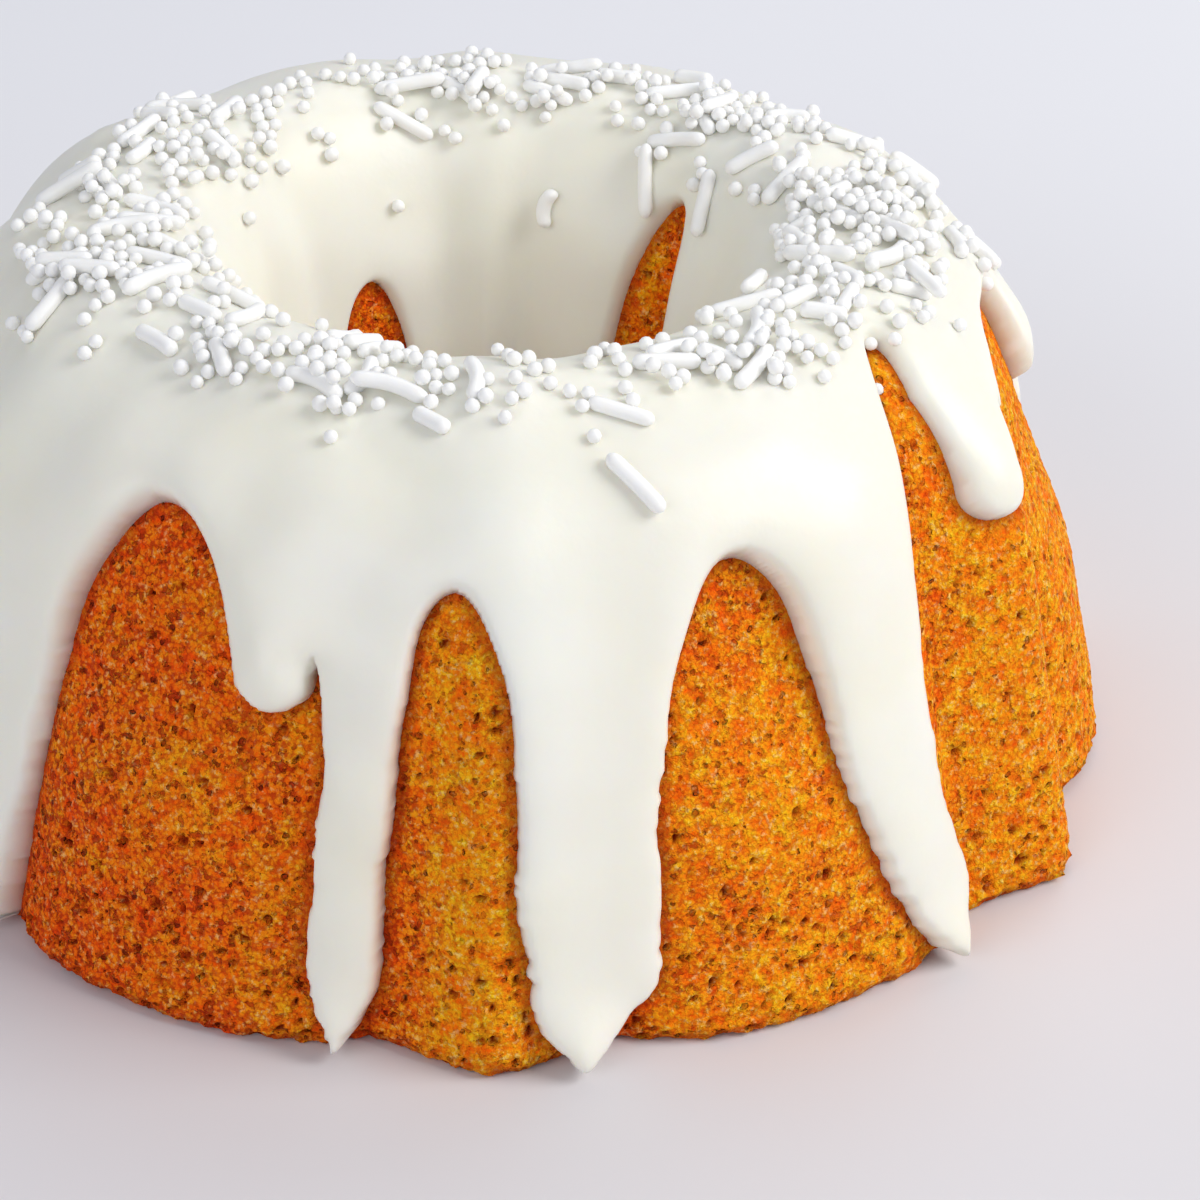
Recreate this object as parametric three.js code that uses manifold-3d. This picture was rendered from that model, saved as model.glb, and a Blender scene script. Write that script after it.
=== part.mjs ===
// Small fluted ring cake with poured icing. Millimetres, +Z up, base on z = 0, hole on the Z axis.
import * as THREE from 'three';
import Module from 'manifold-3d';

const wasm = await Module();
wasm.setup();

// ---- driving sizes, mm ----
const ridgeRadius = 72;      // circle through the six sharp ridges at the base
const edgeRadius = 1.6;      // rounding of the base edge
const edgeSteps = 2;
const wallTopRadius = 65;    // ridge radius where the straight wall ends
const wallTopHeight = 36;
const crestRadius = 37.5;    // circle along the top of the ring
const crestHeight = 61;      // cake only, without icing
const throatRadius = 24.5;   // hole radius where its straight wall starts
const throatHeight = 43;
const holeRadius = 16;       // hole radius at the base, at the ridges
const flutePairs = 6;        // one sharp ridge and one broad lobe each
const ridgeWidth = 23;       // degrees taken by one sharp ridge
const ridgeRounding = 0.02;  // softness of the ridge's back
const ridgeCurve = 1.25;     // how hollow its flanks are
const fluteDepth = 5.6;      // valley below the ridge circle, on the wall
const lobeRise = 3.6;        // broad lobe above the valley
const lobeCurve = 3.5;       // how flat the lobe's back is
const lobeFade = 0.95;       // share of that rise lost again towards the shoulder
const lobeFadeFrom = 19;     // height where the lobes start to fall back
const lobeFadeSpan = 24;
const crestFlute = 0.17;     // share of the flute depth left at the crest
const throatFlute = 0.55;    // share inside the hole
const shoulderPull = 0.6;    // handles of the curves over the crest, as shares of their height
const throatPull = 0.55;
const throatBlend = 0.35;    // share of the inner side on which the flutes grow again

// ---- icing sizes, mm ----
const icingSkin = 1.7;       // thinnest icing, over the ridges
const valleyFill = 0.3;      // share of the flute that the icing fills
const shoulderFill = 0.35;   // share of the lost lobe rise that it fills as well
const skinGap = 0.3;         // clearance between icing and cake
const shellFoot = 0.8;       // lowest point of a drip above the base
const footTop = 24;          // height where the long drips part
const footRadius = 68;       // radius at which the long drips' points are measured
const dripRadius = 60;       // and the short drips
const footRounding = 0.5;

// ---- bare arches between the drips: degrees round, top in mm, half widths in degrees ----
const arches = [
  { at: -36.4, top: 52.8, left: 10, right: 13.9, flareLeft: 1.8, flareRight: 0.4, bendLeft: 3.5,
    bendRight: 4 },
  { at: -20, top: 45, left: 4.5, right: 3.6, flareLeft: 0, flareRight: 0.4, bendLeft: 8, bendRight: 12 },
  { at: -4, top: 49.4, left: 5.4, right: 5.2, flareLeft: 1.2, flareRight: 3, bendLeft: 6, bendRight: 6 },
  { at: 24, top: 50.6, left: 8.9, right: 8, flareLeft: 1.8, flareRight: 10.4, bendLeft: 5, bendRight: 5 },
  { at: 57, top: 59.6, left: 14.2, right: 16, flareLeft: -6.9, flareRight: 4, bendLeft: 4, bendRight: 4 },
  { at: 84, top: 55.4, left: 24, right: 23, flareLeft: 0, flareRight: 0, bendLeft: 5, bendRight: 5 },
  { at: 121, top: 50, left: 6, right: 5.5, flareLeft: 1, flareRight: 2, bendLeft: 5, bendRight: 5 },
  { at: 148, top: 53, left: 9, right: 9.5, flareLeft: 3, flareRight: 4, bendLeft: 4, bendRight: 5 },
  { at: 181, top: 47, left: 6, right: 5.5, flareLeft: 2, flareRight: 1, bendLeft: 5, bendRight: 5 },
  { at: 209, top: 50.5, left: 9.5, right: 8.5, flareLeft: 2, flareRight: 4, bendLeft: 6, bendRight: 4 },
  { at: 240, top: 52, left: 5.5, right: 6, flareLeft: 2, flareRight: 1, bendLeft: 5, bendRight: 6 },
  { at: 265, top: 43, left: 8, right: 6, flareLeft: 3, flareRight: 2, bendLeft: 4, bendRight: 5 },
  { at: 298, top: 36, left: 5.5, right: 4.5, flareLeft: 2, flareRight: 1, bendLeft: 5, bendRight: 5 },
];
// ---- short drips that hang into an arch: degrees, lowest point, half width in mm, lean in degrees a mm ----
const shortDrips = [
  { at: -21, tip: 35.6, half: 4, lean: 0 },
  { at: 58.4, tip: 43.2, half: 4.8, lean: 0.5 },
  { at: 94, tip: 42.6, half: 7.2, lean: 0.55 },
];
// ---- feet of the long drips: degrees, lowest point, slope of the point left and right ----
const dripFeet = [
  { at: -49, tip: 0.8, slopes: [1.8, 1.8] }, { at: -13.4, tip: 0.5, slopes: [2.6, 2.2] },
  { at: 7.2, tip: 0.3, slopes: [1.1, 1] }, { at: 43.5, tip: 0.5, slopes: [1.2, 1.8] },
  { at: 109.5, tip: 0.8, slopes: [2, 1.6] }, { at: 132, tip: 3, slopes: [1.6, 2] },
  { at: 168, tip: 0.8, slopes: [1.6, 1.8] }, { at: 193, tip: 12, slopes: [1.2, 1.2] },
  { at: 228, tip: 0.8, slopes: [1.9, 1.5] }, { at: 250, tip: 2, slopes: [1.8, 1.8] },
  { at: 284, tip: 7, slopes: [1.2, 1] },
];
// ---- bare arches inside the hole ----
const holeArches = [
  { at: 131, top: 54.5, left: 9, right: 14.5, flareLeft: 2, flareRight: 3, bendLeft: 3, bendRight: 2.5 },
  { at: 212, top: 43, left: 13, right: 13, flareLeft: 2, flareRight: 2, bendLeft: 4, bendRight: 4 },
  { at: 30, top: 34, left: 12, right: 12, flareLeft: 2, flareRight: 2, bendLeft: 4, bendRight: 4 },
  { at: 285, top: 38, left: 12, right: 12, flareLeft: 2, flareRight: 2, bendLeft: 4, bendRight: 4 },
];
const holeHem = 12;          // icing hem inside the hole

const rad = Math.PI / 180;
const clamp = (x, a, b) => Math.min(b, Math.max(a, x));
const smooth = (x) => clamp(x, 0, 1) ** 2 * (3 - 2 * clamp(x, 0, 1));
const wrap = (d) => ((((d + 180) % 360) + 360) % 360) - 180;
const mix = (a, b, t) => a + (b - a) * t;

function bezier(a, b, c, d, n) {
  const out = [];
  for (let i = 1; i <= n; i++) {
    const t = i / n, s = 1 - t;
    const at = (k) => s * s * s * a[k] + 3 * s * s * t * b[k] + 3 * s * t * t * c[k] + t * t * t * d[k];
    out.push([at(0), at(1)]);
  }
  return out;
}

// Section at the ridges, from the base edge over the crest and down the hole: radius, height.
function section(wallSteps, shoulderSteps, throatSteps, holeSteps) {
  const pts = [];
  for (let i = 0; i <= edgeSteps; i++) {
    const a = (i / edgeSteps - 1) * 90 * rad;
    pts.push([ridgeRadius - edgeRadius + edgeRadius * Math.cos(a), edgeRadius + edgeRadius * Math.sin(a)]);
  }
  const foot = [ridgeRadius, edgeRadius], top = [wallTopRadius, wallTopHeight];
  for (let i = 1; i <= wallSteps; i++) {
    pts.push([0, 1].map((k) => mix(foot[k], top[k], i / wallSteps)));
  }
  const wallLen = Math.hypot(top[0] - foot[0], top[1] - foot[1]);
  const up = [(top[0] - foot[0]) / wallLen, (top[1] - foot[1]) / wallLen];
  const rise = (crestHeight - wallTopHeight) * shoulderPull;
  const crest = [crestRadius, crestHeight];
  pts.push(...bezier(top, [top[0] + up[0] * rise, top[1] + up[1] * rise],
    [(crestRadius + wallTopRadius) / 2, crestHeight], crest, shoulderSteps));
  const throat = [throatRadius, throatHeight], floor = [holeRadius, 0];
  const holeLen = Math.hypot(throat[0] - floor[0], throat[1]);
  const down = [(floor[0] - throat[0]) / holeLen, -throat[1] / holeLen];
  const drop = (crestHeight - throatHeight) * shoulderPull;
  pts.push(...bezier(crest, [mix(crestRadius, throatRadius, throatPull), crestHeight],
    [throat[0] - down[0] * drop, throat[1] - down[1] * drop], throat, throatSteps));
  for (let i = 1; i <= holeSteps; i++) {
    pts.push([0, 1].map((k) => mix(throat[k], floor[k], i / holeSteps)));
  }
  return pts;
}

// Each section point with its outward direction and its shares of the flute depth and of the lobes' rise.
function dressed(pts) {
  const arc = [0];
  for (let i = 1; i < pts.length; i++) {
    arc.push(arc[i - 1] + Math.hypot(pts[i][0] - pts[i - 1][0], pts[i][1] - pts[i - 1][1]));
  }
  let crest = 0;
  pts.forEach((p, i) => {
    if (p[1] > pts[crest][1]) crest = i;
  });
  return pts.map((p, i) => {
    const a = pts[Math.max(0, i - 1)], b = pts[Math.min(pts.length - 1, i + 1)];
    const len = Math.hypot(b[0] - a[0], b[1] - a[1]);
    let n = [(b[1] - a[1]) / len, -(b[0] - a[0]) / len];
    if (i <= edgeSteps) n = [1, 0];      // the base edge follows the flutes level
    if (i === pts.length - 1) n = [-1, 0];
    let share, keep;
    if (i <= crest) {
      share = mix(1, crestFlute, smooth(2 * arc[i] / arc[crest] - 1));
      keep = 1 - lobeFade * smooth((p[1] - lobeFadeFrom) / lobeFadeSpan);
    } else {
      const down = smooth((arc[i] - arc[crest]) / (arc[arc.length - 1] - arc[crest]) / throatBlend);
      share = mix(crestFlute, throatFlute, down);
      keep = 1 - lobeFade * (1 - down);
    }
    return { r: p[0], z: p[1], n, share, keep, arc: arc[i] };
  });
}

// Depth below the ridge surface at an angle without its lobe, and the rise of the lobe there.
function fluteAt(deg) {
  const pitch = 360 / flutePairs;
  const u = Math.abs(wrap(deg) - pitch * Math.round(wrap(deg) / pitch));
  if (u < ridgeWidth / 2) {
    const soft = (x) => Math.sqrt(x * x + ridgeRounding) - Math.sqrt(ridgeRounding);
    const sharp = 1 - soft(u / (ridgeWidth / 2)) / soft(1);
    return { deep: fluteDepth * (1 - Math.pow(sharp, ridgeCurve)), lobe: 0 };
  }
  const v = (pitch / 2 - u) / ((pitch - ridgeWidth) / 2);
  return { deep: fluteDepth, lobe: lobeRise * (1 - Math.pow(v, lobeCurve)) };
}

function columns(ridgeShares, lobeShares) {
  const pitch = 360 / flutePairs, out = [];
  for (let k = 0; k < flutePairs; k++) {
    ridgeShares.forEach((s) => out.push(pitch * k + s * ridgeWidth / 2));
    lobeShares.forEach((s) => out.push(pitch * (k + 0.5) + s * (pitch - ridgeWidth) / 2));
  }
  return out;
}

// Closed ring solid from the section, the columns and a lift off the cake surface.
// A floor below zero carries both ends straight down, for the bodies that only cut others.
function ringSolid(rows, cols, lift, floorZ) {
  const ends = floorZ < 0 ? 1 : 0;
  const verts = [], tris = [], n = cols.length, m = rows.length + 2 * ends;
  for (let i = 0; i < m; i++) {
    const row = rows[clamp(i - ends, 0, rows.length - 1)];
    const atEnd = i === 0 || i === m - 1;
    cols.forEach((deg) => {
      const { deep, lobe } = fluteAt(deg);
      const depth = row.share * (deep - row.keep * lobe);
      const off = lift(depth, row.share * (1 - row.keep) * lobe) - depth;
      const r = row.r + row.n[0] * off;
      const z = atEnd ? floorZ : Math.max(row.z + row.n[1] * off, ends ? -1 : 0);
      verts.push(r * Math.sin(deg * rad), -r * Math.cos(deg * rad), z);
    });
  }
  for (let i = 0; i < m; i++) {
    const ni = (i + 1) % m;
    for (let j = 0; j < n; j++) {
      const nj = (j + 1) % n;
      const a = i * n + j, b = i * n + nj, c = ni * n + nj, d = ni * n + j;
      tris.push(a, b, c, a, c, d);
    }
  }
  return solid(verts, tris);
}

function solid(verts, tris) {
  return new wasm.Manifold(new wasm.Mesh({
    numProp: 3, vertProperties: new Float32Array(verts), triVerts: new Uint32Array(tris) }));
}

// Height of the arch edge at an angle, or null outside the arch.
function archHeight(arch, deg) {
  const steps = 400;
  const u = wrap(deg - arch.at);
  const half = u < 0 ? arch.left : arch.right, flare = u < 0 ? arch.flareLeft : arch.flareRight;
  const bend = u < 0 ? arch.bendLeft : arch.bendRight;
  const width = (t) => (half + flare * Math.pow(1 - t, 3)) * Math.sqrt(Math.max(0, 1 - Math.pow(t, bend)));
  let best = null;
  for (let i = 0; i <= steps; i++) {
    if (width(i / steps) >= Math.abs(u)) best = arch.top * i / steps;
  }
  return best;
}

function outerHem(deg) {
  let foot = footTop;
  dripFeet.forEach((f) => {
    const x = wrap(deg - f.at) * rad * footRadius;
    foot = Math.min(foot, f.tip + f.slopes[x < 0 ? 0 : 1] * (Math.hypot(x, footRounding) - footRounding));
  });
  let arch = 0;
  arches.forEach((a) => {
    arch = Math.max(arch, archHeight(a, deg) ?? 0);
  });
  let drip = crestHeight;
  shortDrips.forEach((d) => {
    const x = wrap(deg - d.at) * rad * dripRadius;
    const half = x > 0 ? d.half * (1 + d.lean) : d.half;       // a leaning drip covers more on that side
    if (Math.abs(x) < half) {
      drip = Math.min(drip, d.tip + d.half * (1 - Math.sqrt(1 - (x / half) ** 2)));
    }
  });
  return Math.max(shellFoot, Math.min(arch, drip), foot);
}

function holeHemAt(deg) {
  let hem = holeHem + 1.5 * Math.sin(deg * rad * 5) + 1.2 * Math.sin(deg * rad * 9 + 1);
  holeArches.forEach((a) => {
    hem = Math.max(hem, archHeight(a, deg) ?? 0);
  });
  return hem;
}

// The space that the icing may fill: everything above its two hems.
function hemMask() {
  const step = 2, spare = 20, cols = [];
  for (let deg = -180; deg < 180; deg += step) cols.push(deg);
  const verts = [], tris = [], n = cols.length;
  const mid = crestRadius, near = 4, far = ridgeRadius + spare, roof = crestHeight + spare;
  cols.forEach((deg) => {
    const low = outerHem(deg), inner = holeHemAt(deg);
    const s = Math.sin(deg * rad), c = -Math.cos(deg * rad);
    [[near, inner], [mid, inner], [mid, low], [far, low], [far, roof], [near, roof]].forEach(([r, z]) => {
      verts.push(r * s, r * c, z);
    });
  });
  for (let j = 0; j < n; j++) {
    const nj = (j + 1) % n;
    for (let k = 0; k < 6; k++) {
      const nk = (k + 1) % 6;
      const a = j * 6 + k, b = nj * 6 + k, c = nj * 6 + nk, d = j * 6 + nk;
      tris.push(a, b, c, a, c, d);
    }
  }
  return solid(verts, tris);
}

function toMesh(name, body, material) {
  const mesh = body.getMesh();
  const geo = new THREE.BufferGeometry();
  const pos = new Float32Array(mesh.numVert * 3);
  for (let i = 0; i < mesh.numVert; i++) {
    for (let k = 0; k < 3; k++) pos[i * 3 + k] = mesh.vertProperties[i * mesh.numProp + k];
  }
  geo.setAttribute('position', new THREE.BufferAttribute(pos, 3));
  geo.setIndex(new THREE.BufferAttribute(new Uint32Array(mesh.triVerts), 1));
  geo.computeVertexNormals();
  const out = new THREE.Mesh(geo, material);
  out.name = name;
  return out;
}

const side = THREE.DoubleSide;
const crust = new THREE.MeshStandardMaterial({ color: 0xb4692a, roughness: 0.9, metalness: 0, side });
const cream = new THREE.MeshStandardMaterial({ color: 0xf1ece0, roughness: 0.4, metalness: 0, side });

const simplifyWithin = 0.06;
const cakeCols = columns([-1, -0.6, -0.25, 0, 0.25, 0.6], [-1, -0.9, -0.7, -0.4, 0, 0.4, 0.7, 0.9]);
const cakeRows = dressed(section(4, 8, 5, 3));
const cake = ringSolid(cakeRows, cakeCols, () => 0, 0);

const icingCols = columns([-1, -0.5, 0, 0.5], [-1, -0.8, -0.5, 0, 0.5, 0.8]);
const icingRows = dressed(section(3, 7, 4, 3));
const overSkin = (depth, lost) => skinGap + icingSkin + valleyFill * depth + shoulderFill * lost;
const outside = ringSolid(icingRows, icingCols, overSkin, -3);
const inside = ringSolid(cakeRows, cakeCols, () => skinGap, -4);
let icing = outside.subtract(inside).intersect(hemMask());
if (icing.decompose) {
  const pieces = icing.decompose().sort((a, b) => b.volume() - a.volume());
  icing = pieces[0];
}
if (icing.simplify) icing = icing.simplify(simplifyWithin);

const group = new THREE.Group();
group.name = 'bundt_cake';
group.add(toMesh('cake', cake, crust));
group.add(toMesh('icing', icing, cream));

export default group;
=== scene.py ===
import math
import bpy
import numpy as np
from mathutils import Matrix, Vector
from mathutils.bvhtree import BVHTree
from mathutils.kdtree import KDTree


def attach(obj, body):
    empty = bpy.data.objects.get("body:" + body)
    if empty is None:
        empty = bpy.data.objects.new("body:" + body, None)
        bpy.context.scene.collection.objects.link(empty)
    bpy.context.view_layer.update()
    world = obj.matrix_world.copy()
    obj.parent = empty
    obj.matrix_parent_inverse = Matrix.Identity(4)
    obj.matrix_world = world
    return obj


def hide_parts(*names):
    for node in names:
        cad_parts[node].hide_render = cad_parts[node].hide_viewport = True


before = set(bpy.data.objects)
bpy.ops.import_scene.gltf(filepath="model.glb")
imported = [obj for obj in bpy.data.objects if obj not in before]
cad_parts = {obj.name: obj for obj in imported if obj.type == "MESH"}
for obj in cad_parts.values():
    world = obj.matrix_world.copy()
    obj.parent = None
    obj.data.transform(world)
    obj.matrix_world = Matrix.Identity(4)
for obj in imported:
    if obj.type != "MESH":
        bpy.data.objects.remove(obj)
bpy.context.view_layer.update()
scene = bpy.context.scene
mm = 0.001


# the pan's shape, shared by cake and icing, in millimetres
ring = {
    "ridgeRadius": 72.0, "edgeRadius": 1.6,
    "wallTop": (65.0, 36.0), "crest": (37.5, 61.0),
    "throat": (24.5, 43.0), "holeFoot": (16.0, 0.0),
    "pairs": 6, "ridgeWidth": 23.0, "fluteDepth": 5.6, "lobeRise": 3.6,
    "ridgeCurve": 1.25, "lobeCurve": 3.5, "ridgeRounding": 0.02,
    "lobeFade": 0.95, "lobeFadeFrom": 19.0, "lobeFadeSpan": 24.0,
    "crestShare": 0.17, "throatShare": 0.55,
    "shoulderPull": 0.6, "throatPull": 0.55, "throatBlend": 0.35,
    "columns": 960, "rowStep": 0.46,
}


def smoothStep(x):
    t = np.clip(x, 0, 1)
    return t * t * (3 - 2 * t)


def wrapDeg(d):
    return (np.asarray(d) + 180.0) % 360.0 - 180.0


def bezier(a, b, c, d, n):
    t = np.linspace(0, 1, n)[1:, None]
    a, b, c, d = (np.array(p, float) for p in (a, b, c, d))
    return (1 - t) ** 3 * a + 3 * (1 - t) ** 2 * t * b + 3 * (1 - t) * t * t * c + t ** 3 * d


def sectionLine(s):  # at a ridge, from the base edge over to the hole
    e = s["edgeRadius"]
    turn = np.radians(np.linspace(-90, 0, 12))
    edge = np.c_[s["ridgeRadius"] - e + e * np.cos(turn), e + e * np.sin(turn)]
    foot, top = np.array([s["ridgeRadius"], e]), np.array(s["wallTop"])
    wall = foot + np.linspace(0, 1, 60)[1:, None] * (top - foot)
    up = (top - foot) / np.linalg.norm(top - foot)
    crest, throat, low = (np.array(s[k]) for k in ("crest", "throat", "holeFoot"))
    rise, drop = (crest[1] - top[1]) * s["shoulderPull"], (crest[1] - throat[1]) * s["shoulderPull"]
    shoulder = bezier(top, top + up * rise, ((crest[0] + top[0]) / 2, crest[1]), crest, 160)
    down = (low - throat) / np.linalg.norm(low - throat)
    handle = (crest[0] - s["throatPull"] * (crest[0] - throat[0]), crest[1])
    inward = bezier(crest, handle, throat - down * drop, throat, 120)
    hole = throat + np.linspace(0, 1, 60)[1:, None] * (low - throat)
    return np.vstack([edge, wall, shoulder, inward, hole])


def ringSection(s):
    line = sectionLine(s)
    arc = np.r_[0, np.cumsum(np.hypot(*np.diff(line, axis=0).T))]
    count = int(round(arc[-1] / s["rowStep"] / 8)) * 8
    at = np.linspace(0, arc[-1], count + 1)
    r, z = np.interp(at, arc, line[:, 0]), np.interp(at, arc, line[:, 1])
    dr, dz = np.gradient(r), np.gradient(z)
    size = np.hypot(dr, dz)
    nr, nz = dz / size, -dr / size
    level = smoothStep((4.0 - at) / 2.5)  # the base edge follows the flutes level
    nr, nz = nr * (1 - level) + level, nz * (1 - level)
    k = int(np.argmax(z))
    outer = 1 + (s["crestShare"] - 1) * smoothStep((at / at[k] - 0.5) / 0.5)
    down = smoothStep((at - at[k]) / (at[-1] - at[k]) / s["throatBlend"])
    inner = s["crestShare"] + (s["throatShare"] - s["crestShare"]) * down
    share = np.where(at <= at[k], outer, inner)
    fade = np.where(at <= at[k], smoothStep((z - s["lobeFadeFrom"]) / s["lobeFadeSpan"]), 1 - down)
    keep = 1 - s["lobeFade"] * fade
    return {"r": r, "z": z, "nr": nr, "nz": nz, "arc": at, "share": share, "keep": keep, "top": k}


def fluteAt(deg, s):  # depth without the lobe, and the lobe's rise, in mm
    half, pitch = s["ridgeWidth"] / 2, 360 / s["pairs"]
    u = np.abs(wrapDeg(deg) - pitch * np.round(wrapDeg(deg) / pitch))
    q = s["ridgeRounding"]
    x = np.clip(u / half, 0, 1)
    sharp = 1 - (np.sqrt(x * x + q) - math.sqrt(q)) / (math.sqrt(1 + q) - math.sqrt(q))
    v = np.clip((pitch / 2 - u) / (pitch / 2 - half), 0, 1)
    deep = s["fluteDepth"] * np.where(u < half, 1 - np.maximum(sharp, 0) ** s["ridgeCurve"], 1)
    return deep, s["lobeRise"] * np.where(u < half, 0, 1 - v ** s["lobeCurve"])


section = ringSection(ring)
rows, cols = len(section["arc"]), ring["columns"]
turns = np.arange(cols) * 360.0 / cols
rounding = np.fft.fft(np.exp(-0.5 * (wrapDeg(turns) / 3.4) ** 2))


def roundedFlute(f):  # the flute as thick icing shows it
    return np.real(np.fft.ifft(np.fft.fft(f) * rounding / rounding[0]))


deepFlute, lobeHump = fluteAt(turns, ring)
softDeep, softHump = roundedFlute(deepFlute), roundedFlute(lobeHump)
share, keep = section["share"][:, None], section["keep"][:, None]
cakeSink = share * (deepFlute - keep * lobeHump)


def ringPoints(turnDeg, rowAt, lift):  # rowAt may be fractional, lift is off the plain ring
    j = np.clip(rowAt, 0, rows - 1)
    get = lambda key: np.interp(j, np.arange(rows), section[key])
    r, z = get("r") + get("nr") * lift, get("z") + get("nz") * lift
    a = np.radians(turnDeg)
    return np.stack([r * np.sin(a), -r * np.cos(a), z], axis=-1)


print("ring:", rows, "rows by", cols, "columns")


# where the icing lies: arches of bare cake between long and short drips
icing = {
    "skin": 1.7, "valleyFill": 0.3, "shoulderFill": 0.35, "dip": 0.4, "leastCover": 0.9,
    "edgeWidth": 1.15, "crownWidth": 4.4, "crownShare": 0.36, "wobble": 0.3, "flow": 0.42,
    "crumble": 0.12, "crumbleSize": 2.0, "crumbleTop": 46.0, "crumbleSpan": 22.0,
    "fillet": 0.9, "notchFillet": 0.4, "dripFillet": 2.4, "tipBulge": 0.9, "mostBulge": 4.0,
    "holeHem": 12.0, "footRadius": 68.0, "footTop": 26.0, "footRounding": 0.5, "footFillet": 0.5,
    # turn of the arch, its top, half widths left and right, flare at the foot, bend of the sides
    "arches": [
        (-36.4, 52.8, 10, 13.9, 1.8, 0.4, 3.5, 4), (-20, 45, 4.5, 3.6, 0, 0.4, 8, 12),
        (-4, 49.4, 5.4, 5.2, 1.2, 3, 6, 6), (24, 50.6, 8.9, 8.0, 1.8, 10.4, 5, 5),
        (57, 59.6, 14.2, 16, -6.9, 4, 4, 4), (84, 55.4, 24, 23, 0, 0, 5, 5),
        (121, 50, 6, 5.5, 1, 2, 5, 5), (148, 53, 9, 9.5, 3, 4, 4, 5),
        (181, 47, 6, 5.5, 2, 1, 5, 5), (209, 50.5, 9.5, 8.5, 2, 4, 6, 4),
        (240, 52, 5.5, 6, 2, 1, 5, 6), (265, 43, 8, 6, 3, 2, 4, 5), (298, 36, 5.5, 4.5, 2, 1, 5, 5),
    ],
    "holeArches": [
        (131, 54.5, 9, 14.5, 2, 3, 3, 2.5), (212, 43, 13, 13, 2, 2, 4, 4),
        (30, 34, 12, 12, 2, 2, 4, 4), (285, 38, 12, 12, 2, 2, 4, 4),
    ],
    # turn, lowest point, half width in mm, lean in degrees per mm, widening per mm
    "shortDrips": [(-21, 35.6, 4.0, 0.0, 0.05), (58.4, 43.2, 4.6, 0.55, 0.4), (94, 42.6, 7.2, 0.55, 0.0)],
    # turn, lowest point, slope of the point to the left and to the right, fullness of the drip's end
    "dripFeet": [
        (-49, 0.8, 1.8, 1.8, 1.2), (-13.4, 0.5, 2.6, 2.2, 1.9), (7.2, 0.3, 1.1, 1.0, 4.0),
        (43.5, 0.5, 1.2, 1.8, 2.4), (109.5, 0.8, 2.0, 1.6, 1.3), (132, 3, 1.6, 2.0, 1.2),
        (168, 0.8, 1.6, 1.8, 1.4), (193, 12, 1.2, 1.2, 1.2), (228, 0.8, 1.9, 1.5, 1.6),
        (250, 2, 1.8, 1.8, 1.2), (284, 7, 1.2, 1, 1),
    ],
    # an earlier pour that shows through: turn, place out from the crest, half sizes, depth, soft edge
    "laps": [(-6, 5, 9.5, 9, 0.45, 1.8), (150, 4, 9, 10, 0.4, 2.0), (-115, 6, 11, 9, 0.4, 2.2)],
}


def softMin(a, b, k):
    h = np.clip(0.5 + 0.5 * (b - a) / k, 0, 1)
    return b + (a - b) * h - k * h * (1 - h)


def softMax(a, b, k):
    return -softMin(-a, -b, k)


def waves(points, size, seed, count=22):
    rng = np.random.default_rng(seed)
    out = np.zeros(points.shape[:-1])
    for _ in range(count):
        way = rng.normal(size=3)
        way *= 2 * math.pi / (size * rng.uniform(0.7, 1.6)) / np.linalg.norm(way)
        out += np.sin(points @ way + rng.uniform(0, 6.283))
    return out / math.sqrt(count / 2)


def slopes(f):
    across = (np.roll(f, -1, axis=1) - np.roll(f, 1, axis=1)) / 2
    across /= np.maximum(section["r"], 5)[:, None] * math.radians(360 / cols)
    return np.gradient(f, section["arc"], axis=0), across


def evenOut(f, limit=9.0):
    along, across = slopes(f)
    return np.where(f < -4, -limit, np.clip(f / (np.hypot(along, across) + 1e-6), -limit, limit))


def archField(arches, height, seed):
    best = np.full((rows, cols), -9.0)
    for k, (at, top, left, right, flareLeft, flareRight, bendLeft, bendRight) in enumerate(arches):
        rng = np.random.default_rng(seed + k)
        ways = rng.uniform(0, 6.283, 3)
        sway = np.sin(height * 0.17 + ways[0]) + 0.45 * np.sin(height * 0.46 + ways[1])
        u = wrapDeg(turns[None, :] - at) + icing["wobble"] * sway[:, None]
        side = smoothStep((u + 3.5) / 7)
        mix = lambda a, b: a + (b - a) * side
        t = np.clip(height / top, 0, 3)[:, None]
        wide = mix(left, right) + mix(flareLeft, flareRight) * np.clip(1 - t, 0, 1) ** 3
        f = 1 - (u / wide) ** 2 - np.clip(t, 1e-6, 3) ** mix(bendLeft, bendRight)
        best = np.maximum(best, evenOut(f))
    return best


def shortDripField(s):
    arc, top = section["arc"], section["top"]
    outside = np.arange(rows)[:, None] <= top
    arcAt = lambda h: np.interp(h, section["z"][:top + 1], arc[:top + 1])
    drips, bulge = np.full((rows, cols), -9.0), np.zeros((rows, cols))
    for at, tip, half, lean, widen in s["shortDrips"]:
        up = arc[:, None] - arcAt(tip) - half
        x = np.radians(wrapDeg(turns[None, :] - at - lean * np.maximum(up, 0))) * section["r"][:, None]
        wide = half + widen * np.clip(up, 0, 12)
        drips = np.maximum(drips, np.where(outside, wide - np.hypot(x, np.minimum(up, 0)), -9))
        bulge += np.exp(-(x / half) ** 2 - ((up - 1) / 4.5) ** 2)
    return drips, bulge


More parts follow.
